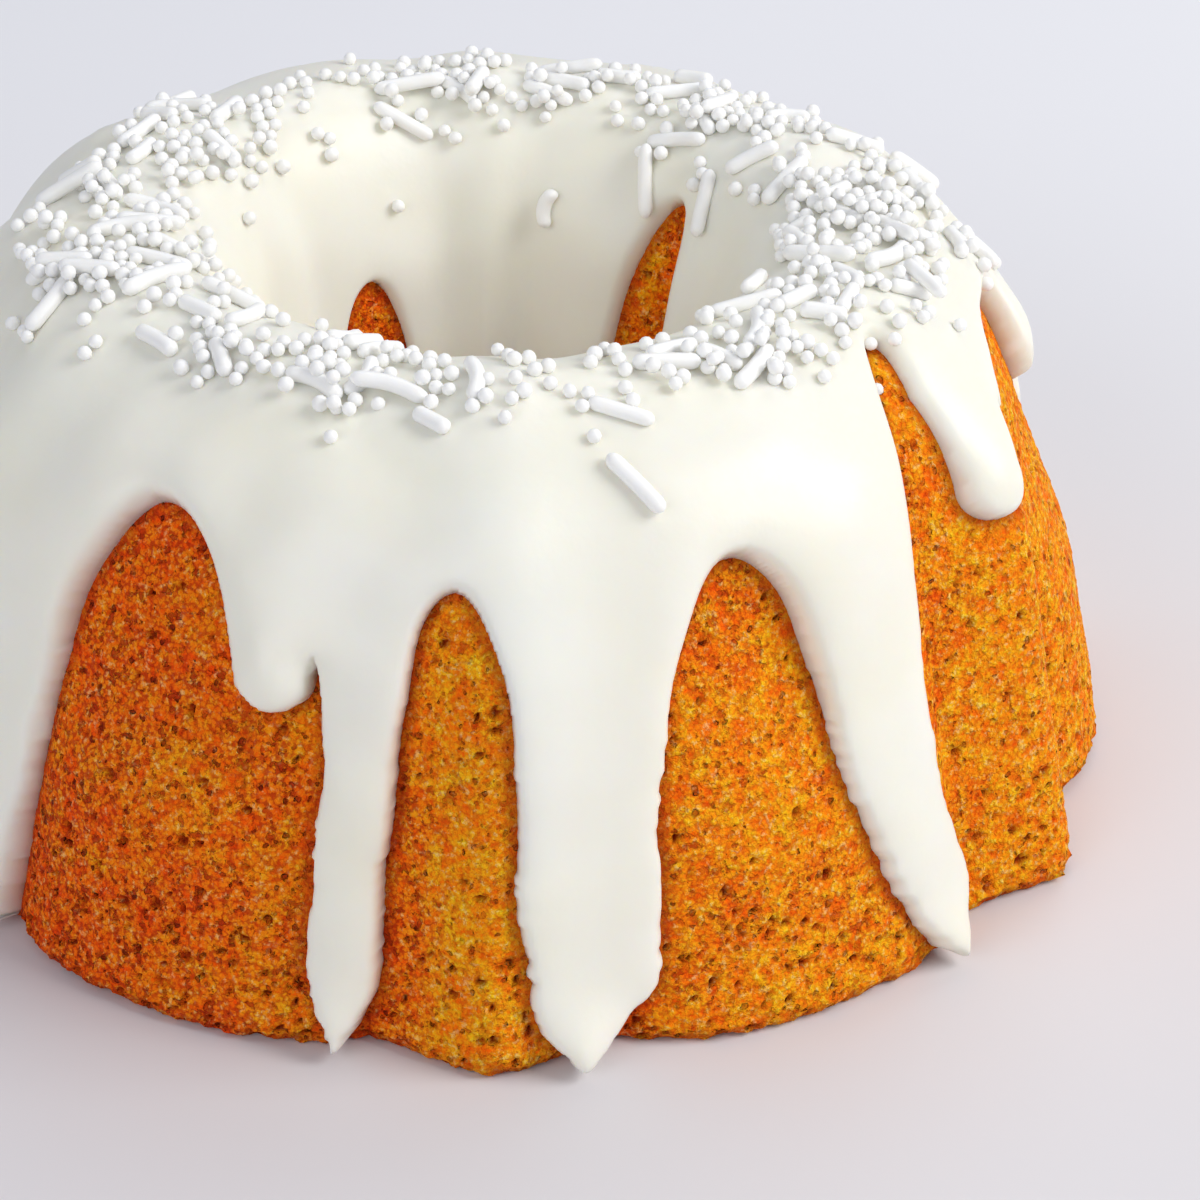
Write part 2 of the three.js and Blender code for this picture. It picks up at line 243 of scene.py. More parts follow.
def dripFootField(s):
    z, outside = section["z"][:, None], (np.arange(rows) <= section["top"])[:, None]
    feet, steep, bulge = np.full((rows, cols), 99.0), np.ones((rows, cols)), np.zeros((rows, cols))
    blunt = s["footRounding"]
    for at, tip, slopeLeft, slopeRight, fullness in s["dripFeet"]:
        x = np.radians(wrapDeg(turns[None, :] - at)) * s["footRadius"]
        slope = slopeLeft + (slopeRight - slopeLeft) * smoothStep(x / 2 + 0.5)
        low = tip + slope * (np.hypot(x, blunt) - blunt) + 0 * z
        steep = np.where(low < feet, np.sqrt(1 + (slope * x / np.hypot(x, blunt)) ** 2), steep)
        feet = np.minimum(feet, low)
        bulge += fullness * np.exp(-(x / 4.5) ** 2 - ((z - tip - 1) / 5.5) ** 2) * outside
    return feet, steep, bulge


def farFromHem(near, base):  # true distance to the hem inside the icing
    edgeAcross = (near > 0) != (np.roll(near, -1, axis=1) > 0)
    edgeAlong = np.zeros_like(edgeAcross)
    edgeAlong[:-1] = (near[:-1] > 0) != (near[1:] > 0)
    marks = np.vstack([base[edgeAcross], base[edgeAlong]])
    tree = KDTree(len(marks))
    for k, p in enumerate(marks):
        tree.insert(p, k)
    tree.balance()
    far = np.abs(near)
    for j, i in np.argwhere(near > 0.45):
        far[j, i] = tree.find(base[j, i])[2]
    blend = smoothStep((far - 0.5) / 0.7)
    return np.where(near > 0, near * (1 - blend) + far * blend, near)


def icingField(s):
    arc, z, top = section["arc"], section["z"], section["top"]
    heightOut = np.where(np.arange(rows) <= top, z, z[top] + arc - arc[top])
    heightIn = np.where(np.arange(rows) >= top, z, z[top] + arc[top] - arc)
    drips, bulge = shortDripField(s)
    feet, steep, footBulge = dripFootField(s)
    tall = heightOut[:, None]
    fillet = s["notchFillet"] + (s["dripFillet"] - s["notchFillet"]) * smoothStep((tall - 43) / 5)
    body = softMax(-archField(s["arches"], heightOut, 3), drips, fillet)
    body = softMin(body, (tall - np.minimum(feet, s["footTop"])) / steep, s["footFillet"])
    hem = s["holeHem"] + 1.5 * np.sin(np.radians(turns * 5)) + 1.2 * np.sin(np.radians(turns * 9) + 1)
    body = softMin(body, -archField(s["holeArches"], heightIn, 40), s["fillet"])
    body = softMin(body, heightIn[:, None] - hem[None, :], s["fillet"])
    along, across = slopes(body)
    near = np.where(np.abs(body) < 1.5, body / np.clip(np.hypot(along, across), 0.6, 2.5), body)
    base = ringPoints(turns[None, :], np.arange(rows)[:, None], 0 * body)
    # crumbs push the hem about lower down
    rough = s["crumble"] * smoothStep((s["crumbleTop"] - tall) / s["crumbleSpan"])
    near = near + rough * waves(base, s["crumbleSize"], 71, 48)
    return farFromHem(near, base), np.clip(bulge + footBulge, 0, s["mostBulge"]), base


field, tipBulge, plainRing = icingField(icing)
print("icing field:", int((field > 0).sum()), "of", field.size, "points covered")


# a grid that is fine only where it has to be
def gridFaces(need, keep):
    nr, nc = need.shape
    left = keep.copy()
    blocks = []
    for size in (8, 4, 2, 1):
        ok = (left & (need >= size)).reshape(nr // size, size, nc // size, size).all(axis=(1, 3))
        blocks.append((size, np.argwhere(ok) * size))
        left &= ~np.repeat(np.repeat(ok, size, axis=0), size, axis=1)
    used = np.zeros((nr + 1, nc), bool)
    for size, at in blocks:
        for dj, di in ((0, 0), (0, size), (size, size), (size, 0)):
            used[at[:, 0] + dj, (at[:, 1] + di) % nc] = True
    faces = []
    for size, at in blocks:
        step = np.arange(size)
        path = np.vstack([np.c_[0 * step, step], np.c_[step, 0 * step + size],
                          np.c_[0 * step + size, size - step], np.c_[size - step, 0 * step]])
        j = at[:, 0][:, None] + path[:, 0]
        i = (at[:, 1][:, None] + path[:, 1]) % nc
        ids, hit = j * nc + i, used[j, i]
        if size == 1:
            faces.extend(ids.tolist())
        else:
            faces.extend(row[mask].tolist() for row, mask in zip(ids, hit))
    return faces, used


def cornersIn(values):
    shifted = np.roll(values, -1, axis=1)
    return np.stack([values[:-1], shifted[:-1], shifted[1:], values[1:]])


def makeMesh(name, points, faces):
    flat = sorted({v for f in faces for v in f})
    newIndex = np.full(len(points), -1)
    newIndex[flat] = np.arange(len(flat))
    mesh = bpy.data.meshes.new(name)
    mesh.from_pydata((points[flat] * mm).tolist(), [], [newIndex[f].tolist() for f in map(np.array, faces)])
    mesh.validate()
    mesh.polygons.foreach_set("use_smooth", [True] * len(mesh.polygons))
    mesh.update()
    piece = bpy.data.objects.new(name, mesh)
    scene.collection.objects.link(piece)
    return piece, np.array(flat)


def addAttribute(mesh, label, kind, values):
    made = mesh.attributes.new(label, kind, "POINT")
    flat = np.ascontiguousarray(values, np.float32).ravel()
    made.data.foreach_set("value" if kind == "FLOAT" else "vector", flat)


def triangleCount(piece):
    return sum(len(p.vertices) - 2 for p in piece.data.polygons)


def quarter(x):
    return np.sqrt(1 - (1 - np.clip(x, 0, 1)) ** 2)


def soften(f, reach):  # a running mean in mm, along and across
    cell = np.maximum(section["r"], 8) * math.radians(360 / cols)
    wide = np.maximum(1, (reach / cell).astype(int))[:, None]
    spare = 200
    total = np.cumsum(np.hstack([f[:, -spare:], f, f[:, :spare]]), axis=1)
    index = np.arange(cols)[None, :] + spare
    upTo = lambda at: np.take_along_axis(total, at, 1)
    across = (upTo(index + wide) - upTo(index - wide - 1)) / (2 * wide + 1)
    step = max(1, int(reach / ring["rowStep"]))
    padded = [np.repeat(across[:1], step + 1, 0), across, np.repeat(across[-1:], step, 0)]
    tall = np.cumsum(np.vstack(padded), axis=0)
    return (tall[2 * step + 1:] - tall[:-2 * step - 1]) / (2 * step + 1)


def lapLift(s):  # soft steps where one pour ran over another
    out = (section["arc"][section["top"]] - section["arc"])[:, None]
    lift = np.zeros((rows, cols))
    for at, outAt, wide, tall, depth, soft in s["laps"]:
        x = np.radians(wrapDeg(turns[None, :] - at)) * section["r"][:, None]
        near = 1 - np.sqrt((x / wide) ** 2 + ((out - outAt) / tall) ** 2)
        lift += depth * smoothStep(near * min(wide, tall) / soft) * smoothStep((out + 2) / 5)
    return lift


def icingLift(s, cakeLift):  # height of the coat off the plain ring
    flowPoints = plainRing * np.array([1, 1, 0.33])
    flow = waves(flowPoints, 17, 5) * 0.6 + waves(plainRing, 11, 8) * 0.25 + waves(plainRing, 34, 11) * 0.5
    sink = (1 - s["valleyFill"]) * (softDeep - keep * softHump) - s["shoulderFill"] * (1 - keep) * softHump
    topLift = s["skin"] - share * sink + s["flow"] * flow + s["tipBulge"] * tipBulge + lapLift(s)
    topLift = np.maximum(topLift, cakeLift + s["leastCover"])
    crown = soften(soften(quarter(field / s["crownWidth"]), 0.9), 0.9)
    edge = (1 - s["crownShare"]) * quarter(field / s["edgeWidth"]) + s["crownShare"] * crown
    return cakeLift - s["dip"] + (topLift - cakeLift + s["dip"]) * edge


def buildIcing(s):
    cakeLift = -cakeSink
    lift = icingLift(s, cakeLift)
    inside = field > -0.45 * ring["rowStep"]
    inside[:2] = False
    out = ~inside
    border = inside & (np.roll(out, 1, axis=1) | np.roll(out, -1, axis=1))
    border[1:] |= inside[1:] & out[:-1]
    border[:-1] |= inside[:-1] & out[1:]
    along, across = slopes(field)  # the border points slide onto the hem
    size = np.maximum(np.hypot(along, across), 0.3)
    move = np.where(border, -np.clip(field, -0.4, 0.4) / size, 0)
    rowAt = np.arange(rows)[:, None] + move * along / size / ring["rowStep"]
    cell = np.maximum(section["r"], 5)[:, None] * math.radians(360 / cols)
    turnAt = turns[None, :] + np.clip(move * across / size / cell, -0.8, 0.8) * 360 / cols
    lift = np.where(border, cakeLift - s["dip"], lift)
    top = ringPoints(turnAt, rowAt, lift).reshape(-1, 3)
    under = ringPoints(turnAt, rowAt, np.where(border, lift, cakeLift - s["dip"] - 0.12)).reshape(-1, 3)
    count = rows * cols
    corners = cornersIn(inside)
    full = corners.all(axis=0)
    depth = cornersIn(field).min(axis=0)
    # faces span 1, 2, 4 or 8 steps of the grid, the fewer the nearer to the hem
    needTop = np.where(depth < 2.2, 1, np.where(depth < 5, 2, 4))
    needUnder = np.where(depth < 1, 1, np.where(depth < 2, 2, np.where(depth < 4, 4, 8)))
    facesTop, _ = gridFaces(needTop, full)
    facesUnder, _ = gridFaces(needUnder, full)
    ids = cornersIn(np.arange(count).reshape(rows, cols))
    three = np.argwhere(corners.sum(axis=0) == 3)
    tris = [[int(ids[k, j, i]) for k in range(4) if corners[k, j, i]] for j, i in three]
    twin = np.where(border.ravel(), np.arange(count), np.arange(count) + count)
    faces = facesTop + tris
    faces += [twin[f[::-1]].tolist() for f in map(np.array, facesUnder + tris)]
    return makeMesh("icingCoat", np.vstack([top, under]), faces)[0]


icingCoat = buildIcing(icing)
print("icing coat:", triangleCount(icingCoat), "triangles")


# one node tree and the few ways its nodes are joined
class Net:
    def __init__(self, tree):
        self.tree = tree

    def wire(self, value, socket):
        if isinstance(value, bpy.types.NodeSocket):
            self.tree.links.new(value, socket)
        elif value is not None:
            socket.default_value = value

    def node(self, kind, given=(), **settings):
        made = self.tree.nodes.new(kind)
        for key, value in settings.items():
            setattr(made, key, value)
        for key, value in dict(given).items():
            self.wire(value, made.inputs[key])
        return made

    def calc(self, operation, *values, clamp=False):
        return self.node("ShaderNodeMath", enumerate(values), operation=operation, use_clamp=clamp).outputs[0]

    def times(self, a, b):
        return self.calc("MULTIPLY", a, b)

    def plus(self, a, b):
        return self.calc("ADD", a, b)

    def minus(self, a, b):
        return self.calc("SUBTRACT", a, b)

    def over(self, a, b, clamp=False):
        return self.calc("DIVIDE", a, b, clamp=clamp)

    def timesPlus(self, a, b, c, clamp=False):
        return self.calc("MULTIPLY_ADD", a, b, c, clamp=clamp)

    def moved(self, a, b):
        return self.node("ShaderNodeVectorMath", {0: a, 1: b}, operation="ADD").outputs["Vector"]

    def scaled(self, a, scale):
        return self.node("ShaderNodeVectorMath", {0: a, "Scale": scale}, operation="SCALE").outputs["Vector"]

    def parts(self, vector):
        return self.node("ShaderNodeSeparateXYZ", {0: vector}).outputs

    def remap(self, value, low, high, outLow=0.0, outHigh=1.0, smooth=False):
        given = {"Value": value, "From Min": low, "From Max": high, "To Min": outLow, "To Max": outHigh}
        kind = "SMOOTHSTEP" if smooth else "LINEAR"
        return self.node("ShaderNodeMapRange", given, interpolation_type=kind).outputs["Result"]

    def noise(self, place, scale, detail, roughness, offset=0.0):
        vector = self.moved(place, (offset, offset * 0.7, offset * 1.3))
        given = {"Vector": vector, "Scale": scale, "Detail": detail, "Roughness": roughness}
        return self.node("ShaderNodeTexNoise", given).outputs[0]

    def cells(self, place, scale, twistScale, reach):  # the twist bends the cells out of round
        twist = self.node("ShaderNodeTexNoise", {"Vector": place, "Scale": twistScale})
        bent = self.moved(place, self.scaled(twist.outputs["Color"], reach))
        return self.node("ShaderNodeTexVoronoi", {"Vector": bent, "Scale": scale}).outputs

    def mix(self, factor, a, b):
        return self.node("ShaderNodeMix", {0: factor, 2: a, 3: b}).outputs[0]

    # for geometry
    def named(self, name, kind="FLOAT"):
        made = self.node("GeometryNodeInputNamedAttribute", {"Name": name}, data_type=kind)
        return made.outputs["Attribute"]

    def store(self, geometry, name, value):
        given = {"Geometry": geometry, "Name": name, "Value": value}
        made = self.node("GeometryNodeStoreNamedAttribute", given, data_type="FLOAT", domain="POINT")
        return made.outputs[0]

    def random(self, seed, low, high):
        given = {"Min": low, "Max": high, "Seed": seed}
        return self.node("FunctionNodeRandomValue", given, data_type="FLOAT_VECTOR").outputs[0]

    def end(self, geometry, material, output):
        real = self.node("GeometryNodeRealizeInstances", {0: geometry})
        paint = self.node("GeometryNodeSetMaterial", {"Geometry": real.outputs[0], "Material": material})
        self.wire(paint.outputs[0], output)

    # for materials
    def metric(self):
        return self.scaled(self.node("ShaderNodeTexCoord").outputs["Object"], 1000.0)

    def group(self, tree, **values):
        given = {key.replace("_", " "): value for key, value in values.items()}
        return self.node("ShaderNodeGroup", given, node_tree=tree).outputs

    def blend(self, factor, a, b, mode="MIX", clamp=True):
        given = {0: factor, 6: a, 7: b}
        made = self.node("ShaderNodeMix", given, data_type="RGBA", blend_type=mode, clamp_result=clamp)
        return made.outputs[2]

    def attribute(self, name):
        return self.node("ShaderNodeAttribute", attribute_name=name).outputs["Fac"]

    def bump(self, height, strength, distance, under=None):
        given = {"Height": height, "Strength": strength, "Distance": distance, "Normal": under}
        return self.node("ShaderNodeBump", given).outputs["Normal"]


def makeTree(name, kind, inputs, outputs):
    tree = bpy.data.node_groups.new(name, kind)
    for label, socket, value in inputs:
        made = tree.interface.new_socket(name=label, in_out="INPUT", socket_type=socket)
        if value is not None:
            made.default_value = value
    for label, socket in outputs:
        tree.interface.new_socket(name=label, in_out="OUTPUT", socket_type=socket)
    net = Net(tree)
    return net, net.node("NodeGroupInput").outputs, net.node("NodeGroupOutput").inputs


def floatInputs(sizes):
    return [(key, "NodeSocketFloat", float(value)) for key, value in sizes.items()]


def shaderGroup(name, sizes, results):
    return makeTree(name, "ShaderNodeTree", floatInputs(sizes), [(key, "NodeSocketFloat") for key in results])


def formTree(name, sizes, extra=()):
    inputs = [("Geometry", "NodeSocketGeometry", None), ("Material", "NodeSocketMaterial", None), *extra]
    inputs += floatInputs(sizes)
    return makeTree(name, "GeometryNodeTree", inputs, [("Geometry", "NodeSocketGeometry")])


def growPiece(name, source, tree, material):  # runs the tree once and keeps the plain mesh
    grow = source.modifiers.new("grow", "NODES")
    grow.node_group = tree
    for item in tree.interface.items_tree:
        if item.in_out == "INPUT" and item.name == "Material":
            grow[item.identifier] = material
    view = bpy.context.evaluated_depsgraph_get()
    mesh = bpy.data.meshes.new_from_object(source.evaluated_get(view), depsgraph=view)
    mesh.name = name
    mesh.polygons.foreach_set("use_smooth", [True] * len(mesh.polygons))
    source.modifiers.remove(grow)
    piece = bpy.data.objects.new(name, mesh)
    scene.collection.objects.link(piece)
    bpy.data.objects.remove(source)
    return piece


# shader groups shared by crust, icing and sugar
def mottleGroup():
    sizes = {"Size mm": 10.0, "Offset": 0.0, "Contrast": 2.0}
    net, give, take = shaderGroup("mottle", sizes, ("Mask", "Soft"))
    place = net.moved(net.metric(), net.scaled((13.1, 7.7, 3.9), give["Offset"]))
    raw = net.noise(place, net.over(1.0, give["Size mm"]), 3.0, 0.55)
    net.wire(net.timesPlus(net.minus(raw, 0.5), give["Contrast"], 0.5, clamp=True), take["Mask"])
    net.wire(raw, take["Soft"])
    return net.tree


def grainGroup():
    net, give, take = shaderGroup("grain", {"Size mm": 0.5, "Sharpness": 0.5}, ("Height", "Tone", "Crevice Shade"))
    metric, scale = net.metric(), net.over(1.0, give["Size mm"])
    raw = net.noise(metric, net.times(scale, 0.7), 3.0, 0.7, 31.0)
    cells = net.cells(metric, scale, scale, net.times(give["Size mm"], 1.6))
    net.wire(net.mix(give["Sharpness"], raw, net.minus(1.0, cells["Distance"])), take["Height"])
    # each granule has its own tone
    own = net.node("ShaderNodeSeparateColor", {0: cells["Color"]}).outputs[0]
    net.wire(net.timesPlus(net.remap(raw, 0.32, 0.68), 0.65, net.times(own, 0.35)), take["Tone"])
    # painted shade in the crevices between granules
    net.wire(net.remap(cells["Distance"], 0.4, 0.74), take["Crevice Shade"])
    return net.tree


mottle, grain = mottleGroup(), grainGroup()


def startMaterial(name, view, **plain):
    material = bpy.data.materials.new(name)
    material.use_nodes = True
    material.diffuse_color = view
    net = Net(material.node_tree)
    sockets = net.tree.nodes["Principled BSDF"].inputs
    for key, value in plain.items():
        sockets[key.replace("_", " ")].default_value = value
    return material, net, sockets


crustLook = {
    "brown": (1.0, 0.185, 0.004, 1), "gold": (1.0, 0.41, 0.005, 1), "hemShadeAndFoot": (0.40, 0.034, 0.003, 1),
    "darkGrain": (0.93, 0.42, 0.20, 1), "lightGrain": (1.4, 1.45, 1.8, 1), "hollow": (0.24, 0.012, 0.001, 1),
    "gap": (0.52, 0.030, 0.002, 1), "paintedGlint": (1.0, 0.60, 0.27, 1), "yolk": (1.0, 0.45, 0.006, 1),
    "darkFleck": (0.95, 0.52, 0.40, 1), "lightFleck": (1.3, 1.33, 1.4, 1), "pit": (0.42, 0.026, 0.002, 1),
    "patch": 10.0, "fleck": 2.0, "grain": 0.5, "pitSize": 1.1, "roughness": 0.72,
    "litSideReach": 58.0, "litSideTone": (-0.1, 1.05), "ridgeLitAndPaleShare": 0.55, "valley": 0.3,
    "pinholes": 1.1, "pinholeShare": 0.5, "pinholeWidth": 0.42,
}


def crustMaterial(s):
    material, net, sockets = startMaterial("bakedCrust", (0.7, 0.25, 0.05, 1), Specular_IOR_Level=0.08)
    metric = net.metric()
    # paler and more golden towards +x, the side the window light falls on: painted light
    side = net.remap(net.parts(metric)[0], -s["litSideReach"], s["litSideReach"], *s["litSideTone"])
    patch = net.group(mottle, Size_mm=s["patch"], Contrast=2.6)["Mask"]
    fleck = net.group(mottle, Size_mm=s["fleck"], Offset=2.0, Contrast=3.0)["Mask"]
    fine = net.group(grain, Size_mm=s["grain"], Sharpness=0.35)
    tone = net.plus(side, net.timesPlus(patch, 0.6, -0.15))
    # painted shade: the flute valleys are browner
    tone = net.timesPlus(net.attribute("valley"), -s["valley"], tone)
    # along the ridges: a painted highlight, and paler baked crust
    tone = net.timesPlus(net.attribute("ridgeLitAndPale"), s["ridgeLitAndPaleShare"], tone, clamp=True)
    colour = net.blend(tone, s["brown"], s["gold"])
    yolk = net.remap(net.group(mottle, Size_mm=6.0, Offset=5.0, Contrast=1.0)["Soft"], 0.62, 0.76)
    colour = net.blend(net.times(yolk, 0.7), colour, s["yolk"])
    coarse = net.blend(fleck, s["darkFleck"], s["lightFleck"], clamp=False)
    speck = net.blend(fine["Tone"], s["darkGrain"], s["lightGrain"], clamp=False)
    colour = net.blend(1.0, colour, coarse, "MULTIPLY", clamp=False)
    colour = net.blend(1.0, colour, speck, "MULTIPLY")
    # painted glints: the brightest granules are mixed toward a pale glint colour
    colour = net.blend(net.remap(fine["Tone"], 0.66, 0.86, 0.0, 0.5), colour, s["paintedGlint"])
    # dark pits: painted shade in the hollows, weaker on the lit side
    pits = net.remap(net.noise(metric, 1 / s["pitSize"], 3.0, 0.62, 47.0), 0.56, 0.66, smooth=True)
    pits = net.times(pits, net.remap(tone, 0.2, 1.0, 0.8, 0.4))
    colour = net.blend(pits, colour, s["pit"])
    # painted shade in the crevices between granules, weaker on the lit side
    gap = net.times(fine["Crevice Shade"], net.remap(tone, 0.2, 1.0, 0.85, 0.4))
    colour = net.blend(gap, colour, s["gap"])
    # dark pinholes: painted shade of holes the mesh doesn't have, under only a bump
    holes = net.cells(metric, 1 / s["pinholes"], 1.4, 1.0)
    lot = net.node("ShaderNodeSeparateColor", {0: holes["Color"]}).outputs
    wide = net.times(lot[1], s["pinholeWidth"])
    pinhole = net.remap(holes["Distance"], wide, net.times(wide, 0.5))
    pinhole = net.times(pinhole, net.calc("LESS_THAN", lot[0], s["pinholeShare"]))
    colour = net.blend(net.times(pinhole, net.remap(tone, 0.3, 0.9, 0.85, 0.5)), colour, s["hollow"])
    # painted shade along the icing's hem, and a darker ragged foot
    colour = net.blend(net.attribute("hemShadeAndFoot"), colour, s["hemShadeAndFoot"])
    # the pores the mesh has, darkened with painted shade
    colour = net.blend(net.attribute("pore"), colour, s["hollow"])
    net.wire(colour, sockets["Base Color"])
    net.wire(net.remap(fine["Tone"], 0, 1, s["roughness"] + 0.2, s["roughness"] - 0.3), sockets["Roughness"])
    lumps = net.bump(fleck, 0.6, 0.0005)
    hollows = net.timesPlus(pits, 0.7, pinhole)
    net.wire(net.bump(net.minus(fine["Height"], hollows), 1.0, 0.0005, lumps), sockets["Normal"])
    return material


icingLook = {"cream": (0.91, 0.895, 0.82, 1), "warm": (0.89, 0.865, 0.74, 1), "roughness": 0.36}


def icingMaterial(s):
    material, net, sockets = startMaterial("creamIcing", (0.9, 0.88, 0.8, 1), Specular_IOR_Level=0.4,
        Subsurface_Weight=0.45, Subsurface_Radius=(1.0, 0.8, 0.5), Subsurface_Scale=0.003)
    patch = net.group(mottle, Size_mm=16.0, Offset=9.0, Contrast=2.0)
    fine = net.group(grain, Size_mm=0.8, Sharpness=0.0)
    swell = net.group(mottle, Size_mm=4.0, Offset=3.0, Contrast=1.0)["Soft"]
    rough = s["roughness"]
    net.wire(net.blend(patch["Mask"], s["cream"], s["warm"]), sockets["Base Color"])
    net.wire(net.remap(patch["Soft"], 0.3, 0.7, rough - 0.05, rough + 0.06), sockets["Roughness"])
    net.wire(net.bump(fine["Height"], 0.05, 0.0001, net.bump(swell, 0.16, 0.0006)), sockets["Normal"])
    return material


sugarLook = {"white": (0.985, 0.985, 0.975, 1), "shade": (0.97, 0.965, 0.93, 1), "roughness": 0.4}


def sugarMaterial(name, s, size):
    material, net, sockets = startMaterial(name, s["white"], Specular_IOR_Level=0.45,
        Subsurface_Weight=0.3, Subsurface_Radius=(1.0, 0.9, 0.75), Subsurface_Scale=0.0012)
    patch = net.group(mottle, Size_mm=size, Contrast=2.5)
    fine = net.group(grain, Size_mm=0.25, Sharpness=0.5)
    rough = s["roughness"]
    net.wire(net.blend(patch["Mask"], s["white"], s["shade"]), sockets["Base Color"])
    net.wire(net.remap(fine["Tone"], 0, 1, rough - 0.08, rough + 0.1), sockets["Roughness"])
    net.wire(net.bump(fine["Height"], 0.12, 0.00008), sockets["Normal"])
    return material


bakedCrust, creamIcing = crustMaterial(crustLook), icingMaterial(icingLook)
print("materials made")

icingCoat.data.materials.append(creamIcing)
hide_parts("icing")
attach(icingCoat, "root")


# the baked ring: a plain ring on which one tree raises the flutes and the crumb
crumb = {
    "Wave Size": 11.0, "Wave Depth": 0.3, "Crumb Size": 1.15, "Crumb Depth": 0.34,
    "Pore Size": 1.6, "Pore Depth": 0.9, "Pore Share": 0.42, "Ragged Depth": 1.3,
}


def crumbTree(s, flutes):
    net, give, take = formTree("flutesAndCrumb", dict(flutes, **s))
    metric = net.scaled(net.node("GeometryNodeInputPosition").outputs[0], 1000.0)
    height = net.parts(metric)[2]
    # the flute rule: distance in degrees to the nearest ridge, a sharp ridge and a broad lobe
    halfPitch = net.over(180.0, give["Pairs"])
    away = net.calc("PINGPONG", net.named("turn"), halfPitch)
    half = net.times(give["Ridge Width"], 0.5)
    x = net.over(away, half, clamp=True)
    q = give["Ridge Rounding"]
    rootQ = net.calc("SQRT", q)
    flank = net.minus(net.calc("SQRT", net.timesPlus(x, x, q)), rootQ)
    whole = net.minus(net.calc("SQRT", net.plus(q, 1.0)), rootQ)
    sharp = net.calc("MAXIMUM", net.minus(1.0, net.over(flank, whole)), 0.0)
    ridge = net.minus(1.0, net.calc("POWER", sharp, ring["ridgeCurve"]))
    v = net.over(net.minus(halfPitch, away), net.minus(halfPitch, half), clamp=True)
    rise = net.times(net.over(give["Lobe Rise"], give["Flute Depth"]), net.named("keep"))
    lobe = net.minus(1.0, net.times(rise, net.minus(1.0, net.calc("POWER", v, ring["lobeCurve"]))))
    depth = net.mix(net.calc("LESS_THAN", away, half), lobe, ridge)
    sink = net.times(net.times(depth, give["Flute Depth"]), net.named("share"))
    # crumb on the bare cake only, fading out under the icing
    bare = net.named("bare")
    showing = net.remap(bare, -0.3, 0.9, smooth=True)
    wave = net.minus(net.noise(metric, net.over(1.0, give["Wave Size"]), 1.0, 0.5, 4.0), 0.5)
    lump = net.minus(net.noise(metric, net.over(1.0, give["Crumb Size"]), 2.0, 0.6, 9.0), 0.5)
    ragged = net.minus(net.noise(metric, 0.38, 3.0, 0.65, 17.0), 0.6)
    low = net.remap(height, 24.0, 6.0, smooth=True)
    foot = net.remap(height, 4.5, 0.8, smooth=True)
    cells = net.cells(metric, net.over(1.0, give["Pore Size"]), 0.9, 1.1)
    lot = net.node("FunctionNodeSeparateColor", {0: cells["Color"]}).outputs
    chosen = net.calc("LESS_THAN", lot[0], net.times(give["Pore Share"], net.timesPlus(low, 1.3, 0.45)))
    wide = net.timesPlus(net.calc("POWER", lot[1], 2.0), 0.26, 0.24)
    pit = net.remap(cells["Distance"], wide, net.times(wide, 0.4), smooth=True)
    pore = net.times(net.times(pit, chosen), showing)
    relief = net.times(wave, net.times(give["Wave Depth"], 2.0))
    relief = net.plus(relief, net.times(lump, net.times(give["Crumb Depth"], net.timesPlus(low, 0.9, 2.0))))
    relief = net.plus(relief, net.times(net.times(ragged, foot), net.times(give["Ragged Depth"], 2.0)))
    relief = net.minus(net.times(relief, showing), net.times(pore, give["Pore Depth"]))
    push = net.scaled(net.named("outward", "FLOAT_VECTOR"), net.minus(relief, sink))
    split = net.parts(net.moved(metric, push))
    spot = net.node("ShaderNodeCombineXYZ", {0: split[0], 1: split[1], 2: net.calc("MAXIMUM", split[2], 0.0)})
    # masks for the crust's material
    # painted shade in the flute valleys
    valley = net.remap(net.calc("ABSOLUTE", net.minus(away, half)), 5.0, 0.5, smooth=True)
    # painted shade on the crust along the icing's hem
    hemShade = net.times(net.remap(bare, 1.6, 0.2, smooth=True), 0.6)
    # darker along the ragged foot near the floor
    darkFoot = net.times(net.remap(height, 3.0, 0.4, smooth=True), net.remap(ragged, -0.2, 0.02, 0.75, 0.1))
    shape = net.store(give["Geometry"], "pore", pore)
    # a painted highlight and paler bake along the ridges
    shape = net.store(shape, "ridgeLitAndPale", net.remap(x, 0.75, 0.0, smooth=True))
    shape = net.store(shape, "valley", valley)
    shape = net.store(shape, "hemShadeAndFoot", net.calc("MAXIMUM", hemShade, darkFoot))
    given = {"Geometry": shape, "Position": net.scaled(spot.outputs[0], mm)}
    net.end(net.node("GeometryNodeSetPosition", given).outputs[0], give["Material"], take["Geometry"])
    return net.tree


